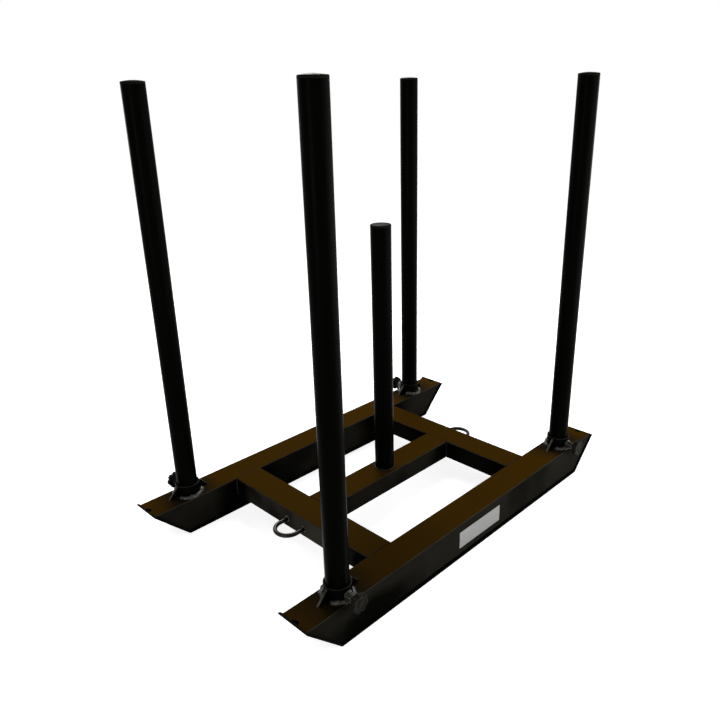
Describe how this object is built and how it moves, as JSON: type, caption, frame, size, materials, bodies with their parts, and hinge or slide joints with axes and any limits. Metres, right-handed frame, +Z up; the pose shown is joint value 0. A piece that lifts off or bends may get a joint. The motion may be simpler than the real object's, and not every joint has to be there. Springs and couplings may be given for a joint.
{
  "type": "drag sled",
  "caption": "Low weight sled with two skid runners, cross members, a plate post, clamped lift-out push poles and tow loops.",
  "frame": {"origin": "on the floor, at the middle of the sled", "axes": "+X to the right side, the one with the name plate; +Y to the rear; +Z up, along the centre post"},
  "size_m": [0.663, 1.0414, 1.014],
  "materials": {
    "powder_coat": "black powder coat with a satin gloss, over welded steel tube",
    "plastic": "moulded black plastic, slightly greyer than the coat",
    "zinc": "bright zinc-plated screw thread",
    "aluminium": "bare brushed sheet, with its rivets"
  },
  "bodies": {
    "frame": {"runner_right": "powder_coat", "runner_left": "powder_coat", "skid_plate_right": "powder_coat", "skid_plate_left": "powder_coat", "cross_member_front": "powder_coat", "cross_member_rear": "powder_coat", "centre_beam": "powder_coat", "socket_front_right": "powder_coat", "socket_front_left": "powder_coat", "socket_rear_right": "powder_coat", "socket_rear_left": "powder_coat", "gussets_front_right": "powder_coat", "gussets_front_left": "powder_coat", "gussets_rear_right": "powder_coat", "gussets_rear_left": "powder_coat", "clamp_nut_front_right": "powder_coat", "clamp_nut_front_left": "powder_coat", "clamp_nut_rear_right": "powder_coat", "clamp_nut_rear_left": "powder_coat", "centre_post": "powder_coat", "post_cap": "plastic", "tow_loop_front": "powder_coat", "tow_loop_rear": "powder_coat", "name_plate": "aluminium", "name_plate_rivets": "aluminium"},
    "pole_front_right": {"pole_front_right": "powder_coat", "pole_cap_front_right": "plastic"},
    "screw_front_right": {"clamp_screw_front_right": "zinc"},
    "knob_front_right": {"knob_front_right": "plastic"},
    "pole_front_left": {"pole_front_left": "powder_coat", "pole_cap_front_left": "plastic"},
    "screw_front_left": {"clamp_screw_front_left": "zinc"},
    "knob_front_left": {"knob_front_left": "plastic"},
    "pole_rear_right": {"pole_rear_right": "powder_coat", "pole_cap_rear_right": "plastic"},
    "screw_rear_right": {"clamp_screw_rear_right": "zinc"},
    "knob_rear_right": {"knob_rear_right": "plastic"},
    "pole_rear_left": {"pole_rear_left": "powder_coat", "pole_cap_rear_left": "plastic"},
    "screw_rear_left": {"clamp_screw_rear_left": "zinc"},
    "knob_rear_left": {"knob_rear_left": "plastic"}
  },
  "joints": [
    {"name": "pole_front_right_lift", "type": "slide", "parent": "frame", "child": "pole_front_right", "axis": [0, 0, 1], "range_m": [0, 0.107]},
    {"name": "screw_front_right_travel", "type": "slide", "parent": "frame", "child": "screw_front_right", "axis": [1, 0, 0], "range_m": [0, 0.009]},
    {"name": "knob_front_right_turn", "type": "hinge", "parent": "screw_front_right", "child": "knob_front_right", "pos_m": [0.2675, -0.405, 0.09431], "axis": [1, 0, 0], "range_deg": [0, 2160]},
    {"name": "pole_front_left_lift", "type": "slide", "parent": "frame", "child": "pole_front_left", "axis": [0, 0, 1], "range_m": [0, 0.107]},
    {"name": "screw_front_left_travel", "type": "slide", "parent": "frame", "child": "screw_front_left", "axis": [-1, 0, 0], "range_m": [0, 0.009]},
    {"name": "knob_front_left_turn", "type": "hinge", "parent": "screw_front_left", "child": "knob_front_left", "pos_m": [-0.2675, -0.405, 0.09431], "axis": [-1, 0, 0], "range_deg": [0, 2160]},
    {"name": "pole_rear_right_lift", "type": "slide", "parent": "frame", "child": "pole_rear_right", "axis": [0, 0, 1], "range_m": [0, 0.107]},
    {"name": "screw_rear_right_travel", "type": "slide", "parent": "frame", "child": "screw_rear_right", "axis": [1, 0, 0], "range_m": [0, 0.009]},
    {"name": "knob_rear_right_turn", "type": "hinge", "parent": "screw_rear_right", "child": "knob_rear_right", "pos_m": [0.2675, 0.405, 0.09431], "axis": [1, 0, 0], "range_deg": [0, 2160]},
    {"name": "pole_rear_left_lift", "type": "slide", "parent": "frame", "child": "pole_rear_left", "axis": [0, 0, 1], "range_m": [0, 0.107]},
    {"name": "screw_rear_left_travel", "type": "slide", "parent": "frame", "child": "screw_rear_left", "axis": [-1, 0, 0], "range_m": [0, 0.009]},
    {"name": "knob_rear_left_turn", "type": "hinge", "parent": "screw_rear_left", "child": "knob_rear_left", "pos_m": [-0.2675, 0.405, 0.09431], "axis": [-1, 0, 0], "range_deg": [0, 2160]}
  ],
  "couplings": [
    {"joint": "screw_front_right_travel", "follows": "knob_front_right_turn", "m_per_rad": 0.00023873},
    {"joint": "screw_front_left_travel", "follows": "knob_front_left_turn", "m_per_rad": 0.00023873},
    {"joint": "screw_rear_right_travel", "follows": "knob_rear_right_turn", "m_per_rad": 0.00023873},
    {"joint": "screw_rear_left_travel", "follows": "knob_rear_left_turn", "m_per_rad": 0.00023873}
  ]
}
